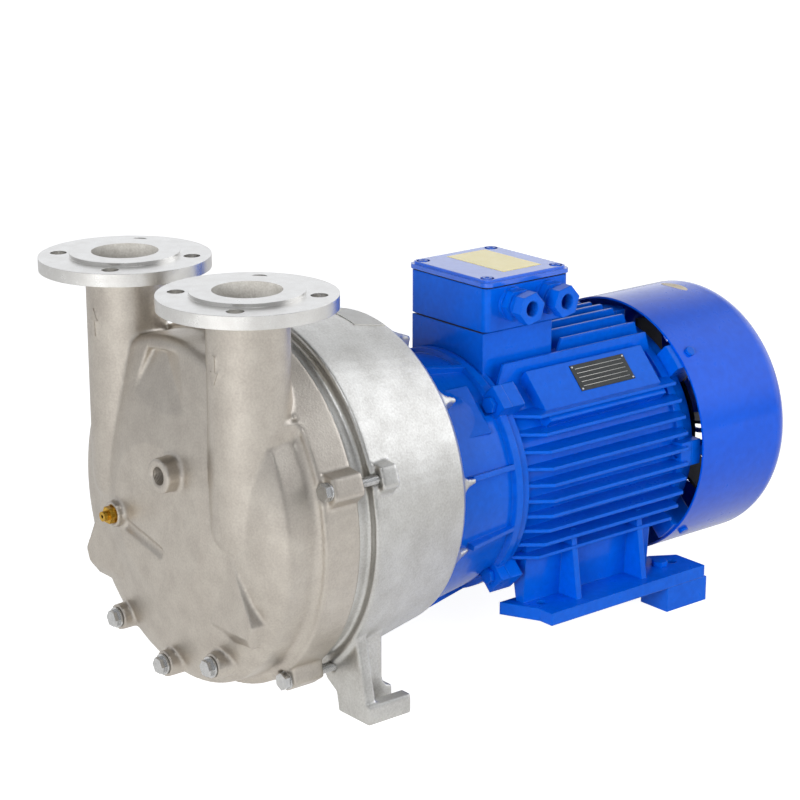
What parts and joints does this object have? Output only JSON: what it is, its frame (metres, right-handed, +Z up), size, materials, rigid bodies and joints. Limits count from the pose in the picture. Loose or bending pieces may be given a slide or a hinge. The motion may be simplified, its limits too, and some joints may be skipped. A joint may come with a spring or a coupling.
{
  "type": "liquid ring vacuum pump",
  "caption": "Close-coupled liquid ring vacuum pump: flanged upright ports on a stainless cover and casing, with a blue finned foot-mounted motor and fan cowl.",
  "frame": {"origin": "on the floor, at the middle of the overall length and width", "axes": "+X along the shaft from the pump to the fan, +Y to the discharge port, +Z up"},
  "size_m": [0.8676, 0.4158, 0.477],
  "materials": {
    "cast_stainless": "bead-blasted stainless casting",
    "turned_stainless": "fine turned stainless casting",
    "bright_steel": "bright stainless fasteners",
    "steel_plate": "ground steel",
    "bearing_steel": "ground bearing steel",
    "brass": "machined brass",
    "gasket": "black sealing sheet",
    "seal_washer": "dull steel seal washer",
    "seal_face": "carbon and ceramic seal faces",
    "cast_impeller": "stainless investment casting",
    "motor_blue": "glossy blue enamel",
    "blue_steel": "blue enamel over steel",
    "cowl_blue": "glossy blue enamel on pressed sheet",
    "core_steel": "stacked electrical sheet",
    "winding": "varnished copper winding",
    "rotor_alloy": "die-cast aluminium",
    "fan_plastic": "black moulded plastic",
    "board": "moulded terminal board"
  },
  "bodies": {
    "pump": {"front_cover": "cast_stainless", "pump_casing": "turned_stainless", "cover_bolts": "bright_steel", "cover_washers": "bright_steel", "drain_plugs": "bright_steel", "valve_screws": "bright_steel", "lid_screws": "bright_steel", "casing_bolts": "bright_steel", "preload_washer": "bright_steel", "port_plate": "steel_plate", "valve_guard": "steel_plate", "drive_bearing_outer": "bearing_steel", "rear_bearing_outer": "bearing_steel", "vent_plug": "brass", "terminal_studs": "brass", "cover_gasket": "gasket", "box_gasket": "gasket", "lid_gasket": "gasket", "plug_seals": "seal_washer", "seal_seat": "seal_face", "drive_shield": "motor_blue", "motor_frame": "motor_blue", "rear_shield": "motor_blue", "terminal_box": "motor_blue", "terminal_lid": "motor_blue", "gland_bodies": "motor_blue", "gland_nuts": "motor_blue", "foot_spacers": "motor_blue", "shield_bolts": "blue_steel", "rear_shield_bolts": "blue_steel", "cowl_screws": "blue_steel", "spacer_bolts": "blue_steel", "fan_cowl": "cowl_blue", "stator_core": "core_steel", "stator_windings": "winding", "terminal_board": "board"},
    "rotor": {"motor_shaft": "steel_plate", "impeller": "cast_impeller", "impeller_key": "bright_steel", "impeller_nut": "bright_steel", "seal_head": "seal_face", "rotor_core": "core_steel", "rotor_end_rings": "rotor_alloy", "drive_bearing_inner": "bearing_steel", "rear_bearing_inner": "bearing_steel", "fan": "fan_plastic", "fan_key": "bright_steel", "fan_circlip": "bright_steel", "shaft_slinger": "gasket"},
    "drive_cage": {"drive_bearing_balls": "brass"},
    "rear_cage": {"rear_bearing_balls": "brass"},
    "flap": {"valve_flap": "steel_plate"}
  },
  "joints": [
    {"name": "shaft_spin", "type": "hinge", "parent": "pump", "child": "rotor", "pos_m": [0.00875, 0, 0.19], "axis": [1, 0, 0], "continuous": true},
    {"name": "drive_cage_spin", "type": "hinge", "parent": "pump", "child": "drive_cage", "pos_m": [-0.01275, 0, 0.19], "axis": [1, 0, 0], "continuous": true},
    {"name": "rear_cage_spin", "type": "hinge", "parent": "pump", "child": "rear_cage", "pos_m": [0.28425, 0, 0.19], "axis": [1, 0, 0], "continuous": true},
    {"name": "flap_swing", "type": "hinge", "parent": "pump", "child": "flap", "pos_m": [-0.2663, 0.084, 0.226], "axis": [0, 1, 0], "range_deg": [0, 6]}
  ],
  "couplings": [
    {"joint": "drive_cage_spin", "follows": "shaft_spin", "ratio": 0.3828},
    {"joint": "rear_cage_spin", "follows": "shaft_spin", "ratio": 0.3828}
  ]
}
